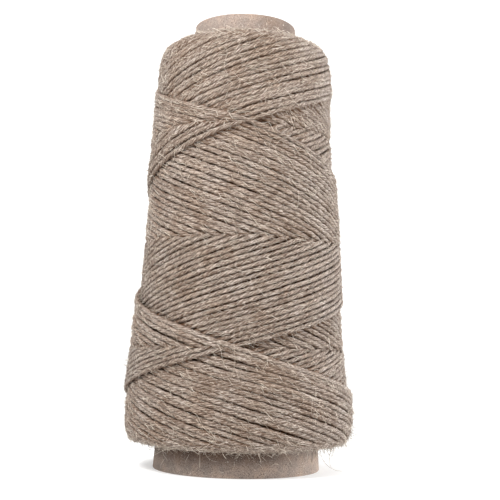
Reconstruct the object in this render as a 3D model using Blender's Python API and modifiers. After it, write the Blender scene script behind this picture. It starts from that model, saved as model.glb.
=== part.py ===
"""Spool of linen cord: a paper cone with a cross-wound package of cord on it.

Run with: blender --background --python part.py

Metres, +Z up. The origin is the centre of the cone's lower rim, which the spool stands on.
Angles round the axis are measured from -Y, positive towards +X.
"""
import math
from collections import namedtuple

import bmesh
import bpy

MM = 0.001

# The paper cone: a tapered cardboard tube, open from end to end.
CONE_HEIGHT = 170.0 * MM
CONE_FOOT_RADIUS = 31.5 * MM
CONE_NOSE_RADIUS = 19.5 * MM
CONE_WALL = 2.4 * MM
CONE_RIM_ROUNDING = 0.4 * MM
CONE_SIDES = 64

# The cord's package. It stops short of both rims of the cone, and stays just clear of its wall.
CORE_CLEARANCE = 0.3 * MM
WINDING_FOOT = 8.2 * MM
WINDING_TOP = 162.2 * MM

# The winding's law: the cord goes twice round the cone on its way from end to end.
TRAVERSE_FOOT = 7.3 * MM
TRAVERSE_LENGTH = 158.5 * MM
TURNS_PER_TRAVERSE = 2
NEWEST_CROSSING = 0.75          # how far up the traverse the newest two runs of cord cross in front
LAYER = 1.7 * MM                # one layer of cord, the step at the newest run
SHOULDER_FADE = 12.0 * MM       # the layers' steps fade out over this much of each end
SHOULDER_STEP = 0.25            # what is left of a step at the package's ends

# A helical grid: one column to the side and one row up follows the cord's own slope.
COLUMNS = 48
ROWS_PER_TRAVERSE = COLUMNS * TURNS_PER_TRAVERSE
RIB_LINES = 3                   # grid lines from one groove between bundles of cord to the next
RIB_DEPTH = 0.6 * MM

# The package's mean radius, from its foot to its top, in millimetres.
Ring = namedtuple("Ring", "height radius")
BODY = (
    Ring(height=14.0, radius=42.1),
    Ring(height=20.0, radius=42.8),
    Ring(height=30.0, radius=41.9),
    Ring(height=45.0, radius=40.3),
    Ring(height=65.0, radius=38.6),
    Ring(height=90.0, radius=36.9),
    Ring(height=112.0, radius=35.2),
    Ring(height=130.0, radius=34.0),
    Ring(height=145.0, radius=33.5),
    Ring(height=152.0, radius=33.0),
    Ring(height=157.0, radius=32.2),
)
FOOT_SHOULDER = (
    Ring(height=8.2, radius=31.6),
    Ring(height=8.5, radius=34.4),
    Ring(height=9.2, radius=37.2),
    Ring(height=10.5, radius=39.6),
    Ring(height=12.2, radius=41.3),
)
TOP_SHOULDER = (
    Ring(height=158.6, radius=31.3),
    Ring(height=159.9, radius=29.6),
    Ring(height=160.9, radius=27.2),
    Ring(height=161.7, radius=24.2),
    Ring(height=162.2, radius=20.6),
)

CARDBOARD_COLOUR = (0.50, 0.41, 0.35, 1.0)
LINEN_COLOUR = (0.33, 0.26, 0.21, 1.0)


def clear_scene() -> None:
    """Remove the objects that a new file opens with."""
    for item in list(bpy.data.objects):
        bpy.data.objects.remove(item, do_unlink=True)


def make_material(name: str, colour: tuple, roughness: float) -> bpy.types.Material:
    """Make a plain Principled material.

    Args:
        name: The material's name.
        colour: Its base colour, linear, with alpha.
        roughness: Its roughness.

    Returns:
        The new material.
    """
    material = bpy.data.materials.new(name)
    material.use_nodes = True
    shader = material.node_tree.nodes["Principled BSDF"]
    shader.inputs["Base Color"].default_value = colour
    shader.inputs["Roughness"].default_value = roughness
    shader.inputs["Metallic"].default_value = 0.0
    return material


def turned(name: str, profile: list, sides: int, collection: bpy.types.Collection) -> bpy.types.Object:
    """Turn a closed profile about the Z axis with a Screw modifier.

    Args:
        name: The object's name.
        profile: (radius, height) pairs, down the outer side and back up the inner one.
        sides: How many steps the turn has.
        collection: Where the object goes.

    Returns:
        The new object, with the modifier live.
    """
    mesh = bpy.data.meshes.new(name)
    points = [(radius, 0.0, height) for radius, height in profile]
    edges = [(index, (index + 1) % len(points)) for index in range(len(points))]
    mesh.from_pydata(points, edges, [])
    item = bpy.data.objects.new(name, mesh)
    collection.objects.link(item)
    screw = item.modifiers.new("turn", "SCREW")
    screw.angle = 2.0 * math.pi
    screw.steps = sides
    screw.render_steps = sides
    screw.use_merge_vertices = True
    screw.merge_threshold = 0.00001
    screw.use_smooth_shade = True
    return item


def cone_radius(height: float) -> float:
    """Give the paper cone's outer radius at a height."""
    return CONE_FOOT_RADIUS + (CONE_NOSE_RADIUS - CONE_FOOT_RADIUS) * height / CONE_HEIGHT


def build_core(collection: bpy.types.Collection) -> bpy.types.Object:
    """Build the cardboard cone, open at both ends and eased at its rims."""
    profile = [
        (CONE_NOSE_RADIUS, CONE_HEIGHT),
        (CONE_FOOT_RADIUS, 0.0),
        (CONE_FOOT_RADIUS - CONE_WALL, 0.0),
        (CONE_NOSE_RADIUS - CONE_WALL, CONE_HEIGHT),
    ]
    core = turned("core", profile, CONE_SIDES, collection)
    rounding = core.modifiers.new("rims", "BEVEL")
    rounding.width = CONE_RIM_ROUNDING
    rounding.segments = 2
    rounding.limit_method = "ANGLE"
    rounding.angle_limit = math.radians(40.0)
    core.data.materials.append(make_material("cardboard", CARDBOARD_COLOUR, 0.85))
    return core


def body_radius(height: float) -> float:
    """Read the package's mean radius from its table, on a smooth curve through the rows.

    Args:
        height: A height on the straight side of the package, in metres.

    Returns:
        The radius there, in metres.
    """
    value = height / MM
    last = len(BODY) - 2
    row = next((i for i in range(last + 1) if value <= BODY[i + 1].height), last)
    before, low, high, after = (BODY[min(max(row + step, 0), last + 1)] for step in (-1, 0, 1, 2))
    span = high.height - low.height
    low_slope = (high.radius - before.radius) / (high.height - before.height) * span
    high_slope = (after.radius - low.radius) / (after.height - low.height) * span
    part = (value - low.height) / span
    rise = part * part * (3.0 - 2.0 * part)
    radius = low.radius + (high.radius - low.radius) * rise
    radius += low_slope * part * (1.0 - part) ** 2 - high_slope * part * part * (1.0 - part)
    return radius * MM


def package_profile() -> list:
    """List the package's section: down its outer side, then up its hole.

    Returns:
        (radius, height) pairs for turned().
    """
    row_height = TRAVERSE_LENGTH / ROWS_PER_TRAVERSE
    side = []
    for row in range(ROWS_PER_TRAVERSE + 1):
        height = TRAVERSE_FOOT + row * row_height
        if BODY[0].height * MM <= height <= BODY[-1].height * MM:
            side.append((body_radius(height), height))
    foot = [(ring.radius * MM, ring.height * MM) for ring in FOOT_SHOULDER]
    top = [(ring.radius * MM, ring.height * MM) for ring in TOP_SHOULDER]
    hole = [(cone_radius(height) + CORE_CLEARANCE, height) for height in (WINDING_FOOT, WINDING_TOP)]
    return list(reversed(foot + side + top)) + hole


def run_age(angle: float, height: float, rising: bool) -> float:
    """Say how long ago the cord at a place was laid, for one of the two ways that it slopes.

    Each new run lies just to the right of the one before. So the age grows from 0 at the newest
    run to 1 a whole turn to its left.

    Args:
        angle: The place round the axis, in radians.
        height: The place's height.
        rising: True for the runs that climb to the right, False for those that fall.

    Returns:
        The age, from 0 to 1.
    """
    travel = (height - TRAVERSE_FOOT) / TRAVERSE_LENGTH - NEWEST_CROSSING
    sweep = TURNS_PER_TRAVERSE * travel if rising else -TURNS_PER_TRAVERSE * travel
    return (sweep - angle / (2.0 * math.pi)) % 1.0


def stepped_age(age: float) -> float:
    """Bring an age back from 1 to 0 over one line of the grid, so that the step has a flank."""
    drop = 1.0 / COLUMNS
    return (1.0 - age) * (COLUMNS - 1) if age > 1.0 - drop else age


def rising_on_top(angle: float, height: float) -> bool:
    """Say whether the cord that shows at a place climbs to the right; a step's flank goes with it.

    Args:
        angle: The place round the axis, in radians.
        height: The place's height.

    Returns:
        True where the runs that climb to the right show.
    """
    rising, falling = (run_age(angle, height, way) for way in (True, False))
    for age, answer in ((rising, True), (falling, False)):
        if age * COLUMNS < 0.5 or age * COLUMNS > COLUMNS - 1.5:
            return answer
    return rising < falling


def rib_groove(age: float) -> float:
    """Give the depth of the groove between bundles of cord at an age."""
    line = round(age * COLUMNS) % RIB_LINES
    return RIB_DEPTH if line == 0 else 0.0


def relief(angle: float, height: float) -> float:
    """Work out how far the package stands above its mean radius at a place.

    Args:
        angle: The place round the axis, in radians.
        height: The place's height.

    Returns:
        The height of the relief, in metres: layers of cord less the groove between bundles.
    """
    ages = [stepped_age(run_age(angle, height, rising)) for rising in (True, False)]
    edge = min(height - WINDING_FOOT, WINDING_TOP - height)
    strength = min(max(edge / SHOULDER_FADE, SHOULDER_STEP), 1.0)
    groove_strength = min(max(edge / SHOULDER_FADE, 0.0), 1.0)
    return strength * LAYER * (1.0 - sum(ages)) - groove_strength * rib_groove(min(ages))


def raise_relief(mesh: bpy.types.Mesh) -> None:
    """Move the points of the package's outer side out or in to the layers of cord."""
    for vertex in mesh.vertices:
        radius = math.hypot(vertex.co.x, vertex.co.y)
        if radius < cone_radius(vertex.co.z) + 2.0 * CORE_CLEARANCE:
            continue
        angle = math.atan2(vertex.co.x, -vertex.co.y)
        factor = (radius + relief(angle, vertex.co.z)) / radius
        vertex.co.x *= factor
        vertex.co.y *= factor


def split_along_cord(mesh: bpy.types.Mesh) -> None:
    """Split each four-sided face of the outer side along the cord that lies on top there."""
    work = bmesh.new()
    work.from_mesh(mesh)
    for face in [face for face in work.faces if len(face.verts) == 4]:
        centre = face.calc_center_median()
        angle = math.atan2(centre.x, -centre.y)
        rising = rising_on_top(angle, centre.z)
        corners = list(face.verts)
        lower_pair = sorted(corners, key=lambda vert: vert.co.z)[:2]
        offsets = [wrap(math.atan2(vert.co.x, -vert.co.y) - angle) for vert in lower_pair]
        start = lower_pair[offsets.index(min(offsets) if rising else max(offsets))]
        opposite = corners[(corners.index(start) + 2) % 4]
        bmesh.utils.face_split(face, start, opposite)
    work.to_mesh(mesh)
    work.free()


def wrap(angle: float) -> float:
    """Bring an angle to between -pi and pi."""
    return (angle + math.pi) % (2.0 * math.pi) - math.pi


def build_winding(collection: bpy.types.Collection) -> bpy.types.Object:
    """Build the cord's package: a turned body with the crossing layers raised on its side."""
    blank = turned("winding_blank", package_profile(), COLUMNS, collection)
    bpy.context.view_layer.update()
    graph = bpy.context.evaluated_depsgraph_get()
    mesh = bpy.data.meshes.new_from_object(blank.evaluated_get(graph))
    bpy.data.objects.remove(blank, do_unlink=True)
    raise_relief(mesh)
    split_along_cord(mesh)
    mesh.name = "winding"
    mesh.materials.clear()
    mesh.materials.append(make_material("linen_cord", LINEN_COLOUR, 0.9))
    winding = bpy.data.objects.new("winding", mesh)
    collection.objects.link(winding)
    return winding


def main() -> None:
    """Build the spool in a collection of its own."""
    clear_scene()
    spool = bpy.data.collections.new("spool_of_linen_cord")
    bpy.context.scene.collection.children.link(spool)
    build_core(spool)
    build_winding(spool)


main()
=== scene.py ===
"""Spool of linen cord: the finish of a cross-wound cone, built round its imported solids.

The cord is wound here as a winder lays it. One long path runs up and down the cone, each run rests on
what lies under it, and the stretches that end up on top are made as a twisted cord. Sizes are in
metres, and a number with MM beside it is in millimetres.
"""
import logging
import math
from dataclasses import dataclass, field
from enum import Enum

import bmesh
import bpy
import numpy as np
from mathutils import Matrix, Vector


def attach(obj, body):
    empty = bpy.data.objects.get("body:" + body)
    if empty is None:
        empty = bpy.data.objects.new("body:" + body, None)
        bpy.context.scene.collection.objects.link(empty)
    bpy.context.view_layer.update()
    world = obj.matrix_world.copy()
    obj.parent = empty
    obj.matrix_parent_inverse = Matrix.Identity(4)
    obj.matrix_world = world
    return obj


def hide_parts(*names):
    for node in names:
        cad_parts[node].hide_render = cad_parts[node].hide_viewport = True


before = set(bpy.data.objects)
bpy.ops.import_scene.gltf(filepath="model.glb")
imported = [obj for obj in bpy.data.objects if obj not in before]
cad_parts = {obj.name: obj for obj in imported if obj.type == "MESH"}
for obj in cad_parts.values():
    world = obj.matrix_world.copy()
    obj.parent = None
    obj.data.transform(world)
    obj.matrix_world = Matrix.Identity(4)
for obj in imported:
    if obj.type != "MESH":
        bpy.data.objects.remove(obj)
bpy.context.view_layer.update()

MM = 0.001
TAU = 2.0 * math.pi
BODY = "root"
BAKE_MAP = "OFBake"                 # the UV map on which the tubes' faces are laid out flat
LOG = logging.getLogger("spool")
Socket = bpy.types.NodeSocket


class Slot(Enum):
    """The material slots."""

    CORD = "cord"
    CARDBOARD = "cardboard"


class End(Enum):
    """The two ends of the package."""

    FOOT = "foot"
    TOP = "top"


# ---------------------------------------------------------------------------------------------
# Small helpers
# ---------------------------------------------------------------------------------------------


def linear(code: str) -> tuple:
    """Turn an sRGB hex colour into linear RGBA.

    Args:
        code: Six hex digits, such as "a0b0c0".

    Returns:
        Red, green, blue and alpha, linear.
    """
    values = [int(code[start:start + 2], 16) / 255.0 for start in (0, 2, 4)]
    return tuple(v / 12.92 if v <= 0.04045 else ((v + 0.055) / 1.055) ** 2.4 for v in values) + (1.0,)


def wrapped(angle: np.ndarray) -> np.ndarray:
    """Bring angles to between -pi and pi."""
    return (angle + math.pi) % TAU - math.pi


def smooth(values: np.ndarray, reach: float) -> np.ndarray:
    """Blur a row of numbers with a bell curve.

    Args:
        values: The numbers, evenly spaced.
        reach: The bell's standard deviation, in spaces.

    Returns:
        The blurred numbers, as many as came in.
    """
    half = max(1, int(3.0 * reach))
    bell = np.exp(-0.5 * (np.arange(-half, half + 1) / reach) ** 2)
    padded = np.pad(values, half, mode="edge")
    return np.convolve(padded, bell / bell.sum(), mode="valid")


def highest_near(values: np.ndarray, reach: int) -> np.ndarray:
    """Give each number the highest of its neighbours within reach."""
    padded = np.pad(values, reach, mode="edge")
    return np.max([padded[shift:shift + len(values)] for shift in range(2 * reach + 1)], axis=0)


def wander(rng: np.random.Generator, places: np.ndarray, spacing: float) -> np.ndarray:
    """Make a smooth random line through knots that are a spacing apart.

    Args:
        rng: The source of the knots' heights.
        places: Where the line is read, increasing.
        spacing: The distance between knots.

    Returns:
        The line's height at each place, from about -1 to 1.
    """
    spots = (places - places.min()) / spacing
    knots = rng.uniform(-1.0, 1.0, int(spots.max()) + 3)
    cell = spots.astype(int)
    part = spots - cell
    blend = part * part * (3.0 - 2.0 * part)
    return knots[cell] * (1.0 - blend) + knots[cell + 1] * blend


def waver(rng: np.random.Generator, places: np.ndarray, waves: tuple) -> np.ndarray:
    """Add several smooth random lines up.

    Args:
        rng: The source of the knots' heights.
        places: Where the line is read, increasing.
        waves: Pairs of a line's greatest height and the distance between its knots.

    Returns:
        The line's height at each place.
    """
    return sum(height * wander(rng, places, spacing) for height, spacing in waves)


def unit(vectors: np.ndarray) -> np.ndarray:
    """Scale each row of an array of vectors to length 1."""
    return vectors / np.maximum(np.linalg.norm(vectors, axis=-1, keepdims=True), 1e-12)


def object_points(item: bpy.types.Object) -> np.ndarray:
    """Read an object's vertices as an array, one row each.

    Args:
        item: The object.

    Returns:
        Its points, one row each.
    """
    flat = np.empty(len(item.data.vertices) * 3)
    item.data.vertices.foreach_get("co", flat)
    return flat.reshape(-1, 3)


def set_points(item: bpy.types.Object, points: np.ndarray) -> None:
    """Move an object's vertices to an array's rows."""
    item.data.vertices.foreach_set("co", points.reshape(-1))
    item.data.update()


# ---------------------------------------------------------------------------------------------
# Finishes
# ---------------------------------------------------------------------------------------------


def add_node(owner: bpy.types.ID, kind: str, settings: dict, links: dict) -> bpy.types.Node:
    """Add a node to a material or a world with its settings and what feeds it.

    Args:
        owner: The material or the world that gets the node.
        kind: The node's type name.
        settings: Property names, or input names or numbers after "in:", with their values.
        links: Input names or numbers, with the output socket that feeds each.

    Returns:
        The new node.
    """
    node = owner.node_tree.nodes.new(kind)
    for name, value in settings.items():
        if name.startswith("in:"):
            key = name[3:]
            node.inputs[int(key) if key.isdigit() else key].default_value = value
        else:
            setattr(node, name, value)
    for name, source in links.items():
        owner.node_tree.links.new(source, node.inputs[name])
    return node


def new_material(name: str) -> tuple:
    """Make a material with only a Principled shader and its output.

    Args:
        name: The material's name.

    Returns:
        The material and its shader.
    """
    material = bpy.data.materials.new(name)
    material.use_nodes = True
    return material, material.node_tree.nodes["Principled BSDF"]


def set_ramp(node: bpy.types.Node, stops: list) -> None:
    """Fill a colour ramp node from stops.

    Args:
        node: The colour ramp.
        stops: Pairs of a place and its hex colour, upwards.
    """
    ramp = node.color_ramp
    while len(ramp.elements) > 1:
        ramp.elements.remove(ramp.elements[-1])
    ramp.elements[0].position = stops[0][0]
    ramp.elements[0].color = linear(stops[0][1])
    for place, code in stops[1:]:
        ramp.elements.new(place).color = linear(code)


@dataclass(frozen=True)
class LinenCordFinish:
    """Natural flax, dry-spun and laid up with an S twist: matt and fibrous, greyish to warm brown."""

    shade: str = "4a321f"
    middle: str = "807165"
    light: str = "beb2a8"
    # painted shade: the colour that the cord takes where it lies deep between its neighbours
    groove_shade: str = "553822"
    blotch_tint: str = "e4d9ce"
    grain_mm: tuple = (0.13, 0.7)    # flax fibres, across and along; far coarser than real, so that they show
    fibre_mm: tuple = (0.24, 1.3)    # a bundle of them
    strand_mm: tuple = (0.40, 2.0)   # a ridge of many bundles
    strands: int = 6                 # ridges round the cord
    blotch_mm: float = 9.0           # slow changes between retted grey and straw brown
    waver_mm: tuple = (0.9, 3.0)     # the ridges' own unevenness
    waver: float = 7.0
    shares: tuple = (0.38, 0.54, 0.26, 0.045)       # what grain, fibre, strand and ridge add to the tone
    stops: tuple = (0.47, 0.59, 0.72)               # the sums that give shade, middle and light
    retted: tuple = (0.35, 0.65)                    # blotch noise where straw brown starts and is full
    strand_relief: float = 1.4       # relief of strands and ridges, against that of single fibres
    ridge_relief: float = 0.3
    relief_mm: float = 0.30
    roughness: float = 0.58
    specular: float = 0.42           # the low lustre of flax, which draws one soft light band down the cone
    shaded_specular: float = 0.08               # what is left of it deep between the runs: painted shade on the lustre
    shade_from: float = 0.45         # how sheltered the cord must be for that
    sheen: float = 0.06
    sheen_roughness: float = 0.6

    def build(self) -> bpy.types.Material:
        """Make the material. It reads the cord's own attributes, yarn, tone and shelter, and by shelter
        paints shade into the grooves between runs.

        Returns:
            The material.
        """
        material, shader = new_material("linen_cord_spun_s_twist")
        yarn = add_node(material, "ShaderNodeAttribute", {"attribute_name": "yarn"}, {})
        tone = add_node(material, "ShaderNodeAttribute", {"attribute_name": "tone"}, {})
        shelter = add_node(material, "ShaderNodeAttribute", {"attribute_name": "shelter"}, {})
        grain = self.streaks(material, yarn.outputs["Vector"], self.grain_mm)
        fibre = self.streaks(material, yarn.outputs["Vector"], self.fibre_mm)
        strand = self.streaks(material, yarn.outputs["Vector"], self.strand_mm)
        place = add_node(material, "ShaderNodeTexCoord", {}, {})
        blotch = add_node(
            material, "ShaderNodeTexNoise", {"in:Scale": 1.0 / (self.blotch_mm * MM), "in:Detail": 2.0},
            {"Vector": place.outputs["Object"]})
        mixed = tone.outputs["Fac"]
        ridge = self.ridges(material, yarn.outputs["Vector"])
        for streaks, share in zip((grain, fibre, strand, ridge), self.shares):
            mixed = add_node(
                material, "ShaderNodeMath", {"operation": "MULTIPLY_ADD", "in:1": share},
                {0: streaks, 2: mixed}).outputs[0]
        ramp = add_node(material, "ShaderNodeValToRGB", {}, {"Fac": mixed})
        set_ramp(ramp, list(zip(self.stops, (self.shade, self.middle, self.light))))
        retted = add_node(
            material, "ShaderNodeMapRange",
            {"in:From Min": self.retted[0], "in:From Max": self.retted[1]},
            {"Value": blotch.outputs["Fac"]})
        tint = add_node(
            material, "ShaderNodeMix",
            {"data_type": "RGBA", "blend_type": "MULTIPLY", "in:7": linear(self.blotch_tint)},
            {0: retted.outputs["Result"], 6: ramp.outputs["Color"]})
        # Painted shade: the colour goes to the groove colour where the cord lies deep between runs.
        groove_shaded = add_node(
            material, "ShaderNodeMix", {"data_type": "RGBA", "in:7": linear(self.groove_shade)},
            {0: shelter.outputs["Fac"], 6: tint.outputs[2]})
        streaked = add_node(
            material, "ShaderNodeMath", {"operation": "MULTIPLY_ADD", "in:1": self.strand_relief},
            {0: strand, 2: fibre})
        height = add_node(
            material, "ShaderNodeMath", {"operation": "MULTIPLY_ADD", "in:1": self.ridge_relief},
            {0: ridge, 2: streaked.outputs[0]})
        bump = add_node(
            material, "ShaderNodeBump", {"in:Strength": 1.0, "in:Distance": self.relief_mm * MM},
            {"Height": height.outputs[0]})
        # Painted shade on the lustre: the specular level drops where the cord lies deep between runs.
        gloss = add_node(
            material, "ShaderNodeMapRange",
            {"in:From Max": self.shade_from, "in:To Min": self.specular, "in:To Max": self.shaded_specular},
            {"Value": shelter.outputs["Fac"]})
        links = material.node_tree.links
        links.new(groove_shaded.outputs[2], shader.inputs["Base Color"])
        links.new(gloss.outputs["Result"], shader.inputs["Specular IOR Level"])
        links.new(bump.outputs["Normal"], shader.inputs["Normal"])
        shader.inputs["Roughness"].default_value = self.roughness
        shader.inputs["Sheen Weight"].default_value = self.sheen
        shader.inputs["Sheen Roughness"].default_value = self.sheen_roughness
        return material

    def ridges(self, material: bpy.types.Material, yarn: Socket) -> Socket:
        """Raise the strands that wind round the cord.

        Args:
            material: The material that is being built.
            yarn: The place in the cord: round it, untwisted, and along it in millimetres.

        Returns:
            A wave from -1 in a groove to 1 on a ridge.
        """
        parts = add_node(material, "ShaderNodeSeparateXYZ", {}, {"Vector": yarn})
        turn = add_node(
            material, "ShaderNodeMath", {"operation": "ARCTAN2"},
            {0: parts.outputs["Y"], 1: parts.outputs["X"]})
        waver = add_node(
            material, "ShaderNodeMath", {"operation": "MULTIPLY", "in:1": self.waver},
            {0: self.streaks(material, yarn, self.waver_mm)})
        phase = add_node(
            material, "ShaderNodeMath", {"operation": "MULTIPLY_ADD", "in:1": float(self.strands)},
            {0: turn.outputs[0], 2: waver.outputs[0]})
        wave = add_node(material, "ShaderNodeMath", {"operation": "COSINE"}, {0: phase.outputs[0]})
        return wave.outputs[0]

    def streaks(self, material: bpy.types.Material, yarn: Socket, size: tuple) -> Socket:
        """Lay noise along the cord's twist.

        Args:
            material: The material that is being built.
            yarn: The place in the cord: round it, untwisted, and along it in millimetres.
            size: A streak's width and length in millimetres.

        Returns:
            The noise, about 0.5.
        """
        width, length = size
        stretched = add_node(
            material, "ShaderNodeVectorMath", {"operation": "MULTIPLY", "in:1": (1.0, 1.0, width / length)},
            {0: yarn})
        noise = add_node(
            material, "ShaderNodeTexNoise", {"in:Scale": 1.0 / width, "in:Detail": 1.0, "in:Distortion": 0.2},
            {"Vector": stretched.outputs[0]})
        return noise.outputs["Fac"]


@dataclass(frozen=True)
class StrayFlaxFinish:
    """Loose flax fibre, bleached by light: pale cream, a little glossy along its length."""

    pale: str = "dfd3c3"
    straw: str = "a39382"
    dark: str = "6d5e51"
    roughness: float = 0.55
    sheen: float = 0.2

    def build(self) -> bpy.types.Material:
        """Make the material. Each fibre has its own shade, from dark through straw to cream.

        Returns:
            The material.
        """
        material, shader = new_material("stray_flax_fibre")
        tone = add_node(material, "ShaderNodeAttribute", {"attribute_name": "tone"}, {})
        ramp = add_node(material, "ShaderNodeValToRGB", {}, {"Fac": tone.outputs["Fac"]})
        set_ramp(ramp, [(0.0, self.dark), (0.5, self.straw), (1.0, self.pale)])
        material.node_tree.links.new(ramp.outputs["Color"], shader.inputs["Base Color"])
        shader.inputs["Roughness"].default_value = self.roughness
        shader.inputs["Sheen Weight"].default_value = self.sheen
        return material


@dataclass(frozen=True)
class PackedBedFinish:
    """The older layers of cord, seen only as slits between the runs on top, coloured dark brown as painted
    shade.
    """

    # painted shade: dark browns for the cord that lies in the shadow of the runs above
    colour: str = "482e1c"
    light: str = "60462f"
    fibre_mm: float = 0.6
    roughness: float = 0.95

    def build(self) -> bpy.types.Material:
        """Make the material, mottled at the size of the cord's fibres.

        Returns:
            The material.
        """
        material, shader = new_material("linen_older_layers_painted_shade")
        place = add_node(material, "ShaderNodeTexCoord", {}, {})
        noise = add_node(
            material, "ShaderNodeTexNoise", {"in:Scale": 1.0 / (self.fibre_mm * MM), "in:Detail": 2.0},
            {"Vector": place.outputs["Object"]})
        ramp = add_node(material, "ShaderNodeValToRGB", {}, {"Fac": noise.outputs["Fac"]})
        set_ramp(ramp, [(0.3, self.colour), (0.7, self.light)])
        material.node_tree.links.new(ramp.outputs["Color"], shader.inputs["Base Color"])
        shader.inputs["Roughness"].default_value = self.roughness
        return material


@dataclass(frozen=True)
class PaintedShadeZone:
    """A zone at one end of the cone where shade is painted into the board's colour, unevenly from side to
    side.
    """

    starts: float                   # heights above the floor
    full: float
    stops: float
    left: float                     # places from left to right
    right: float
    shares: tuple                   # how dark the painted shade is at those two places


@dataclass(frozen=True)
class RecycledBoardFinish:
    """Recycled greyboard rolled from wet paper: matt, pinkish grey, with dark and pale fibre specks; shade is
    painted in under the package's foot and on the cone's top.
    """

    base: str = "a19186"
    warm: str = "ab9889"
    grey: str = "968980"
    # painted shade: the tint multiplied in under the package's foot and on the cone's top
    shade_tint: str = "8f8078"
    dark_speck: str = "4d3e35"
    pale_speck: str = "ddd3c8"
    pulp_shadow: str = "8f857e"
    speck_mm: float = 0.42
    dark_band: tuple = (0.645, 0.70)    # the noise where a speck starts and is full
    pale_band: tuple = (0.71, 0.77)
    pale_shift_mm: float = 31.0         # keeps the pale specks off the dark ones' places
    blotch_mm: float = 6.0              # slow changes between grey and pink
    pulp_mm: float = 0.30               # lumps of fibre in the wet paper
    pulp: float = 0.9                   # how strongly they show in the colour
    relief: float = 0.7                 # and in the surface, at this height
    relief_mm: float = 0.10
    # painted shadow under the package's overhang, darkest just below it, full on the left and faint on the
    # right
    foot_shadow: PaintedShadeZone = PaintedShadeZone(1.5 * MM, 8.5 * MM, 40.0 * MM, 8.0 * MM, 27.0 * MM, (1.0, 0.15))
    # painted shade on the cone's top, darker towards the right
    nose_shade: PaintedShadeZone = PaintedShadeZone(150.0 * MM, 154.0 * MM, 180.0 * MM, 1.0 * MM, 11.0 * MM, (0.16, 0.52))
    roughness: float = 0.82
    specular: float = 0.3

    def build(self) -> bpy.types.Material:
        """Make the material on Object coordinates.

        Returns:
            The material.
        """
        material, shader = new_material("cardboard_recycled_rolled")
        place = add_node(material, "ShaderNodeTexCoord", {}, {})
        where = place.outputs["Object"]
        blotch = add_node(
            material, "ShaderNodeTexNoise",
            {"in:Scale": 1.0 / (self.blotch_mm * MM), "in:Detail": 3.0, "in:Roughness": 0.6},
            {"Vector": where})
        colour = add_node(material, "ShaderNodeValToRGB", {}, {"Fac": blotch.outputs["Fac"]})
        set_ramp(colour, [(0.36, self.grey), (0.50, self.base), (0.64, self.warm)])
        pulp = add_node(
            material, "ShaderNodeTexNoise",
            {"in:Scale": 1.0 / (self.pulp_mm * MM), "in:Detail": 4.0, "in:Roughness": 0.7},
            {"Vector": where})
        grain = add_node(material, "ShaderNodeValToRGB", {}, {"Fac": pulp.outputs["Fac"]})
        set_ramp(grain, [(0.34, self.pulp_shadow), (0.57, "ffffff")])
        pulped = add_node(
            material, "ShaderNodeMix", {"data_type": "RGBA", "blend_type": "MULTIPLY", "in:0": self.pulp},
            {6: colour.outputs["Color"], 7: grain.outputs["Color"]})
        # Painted shadow under the foot, then painted shade on the cone's top.
        foot_shaded = self.paint_shade(material, where, pulped.outputs[2], self.foot_shadow)
        nose_shaded = self.paint_shade(material, where, foot_shaded, self.nose_shade)
        specked = self.specks(material, where, nose_shaded, self.dark_speck, 0.0, self.dark_band)
        finished = self.specks(material, where, specked, self.pale_speck, self.pale_shift_mm, self.pale_band)
        bump = add_node(
            material, "ShaderNodeBump", {"in:Strength": self.relief, "in:Distance": self.relief_mm * MM},
            {"Height": pulp.outputs["Fac"]})
        links = material.node_tree.links
        links.new(finished, shader.inputs["Base Color"])
        links.new(bump.outputs["Normal"], shader.inputs["Normal"])
        shader.inputs["Roughness"].default_value = self.roughness
        shader.inputs["Specular IOR Level"].default_value = self.specular
        return material

    def paint_shade(self, material: bpy.types.Material, where: Socket, colour: Socket, zone: PaintedShadeZone) -> Socket:
        """Paint shade on one end of the cone, unevenly from side to side.

        Args:
            material: The material that is being built.
            where: The coordinates, with the floor at zero.
            colour: The board's colour before the shade.
            zone: Where the painted shade lies.

        Returns:
            The colour with painted shade on that end.
        """
        parts = add_node(material, "ShaderNodeSeparateXYZ", {}, {"Vector": where})
        rising = add_node(
            material, "ShaderNodeMapRange",
            {"interpolation_type": "SMOOTHSTEP", "in:From Min": zone.starts, "in:From Max": zone.full},
            {"Value": parts.outputs["Z"]})
        inside = add_node(
            material, "ShaderNodeMath", {"operation": "LESS_THAN", "in:1": zone.stops},
            {0: parts.outputs["Z"]})
        side_to_side = add_node(
            material, "ShaderNodeMapRange",
            {"interpolation_type": "SMOOTHSTEP", "in:From Min": zone.left, "in:From Max": zone.right,
             "in:To Min": zone.shares[0], "in:To Max": zone.shares[1]},
            {"Value": parts.outputs["X"]})
        reach = add_node(
            material, "ShaderNodeMath", {"operation": "MULTIPLY"},
            {0: rising.outputs["Result"], 1: side_to_side.outputs["Result"]})
        share = add_node(
            material, "ShaderNodeMath", {"operation": "MULTIPLY"},
            {0: reach.outputs[0], 1: inside.outputs[0]})
        shade_tint = add_node(
            material, "ShaderNodeMix",
            {"data_type": "RGBA", "blend_type": "MULTIPLY", "in:7": linear(self.shade_tint)},
            {0: share.outputs[0], 6: colour})
        return shade_tint.outputs[2]

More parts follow.
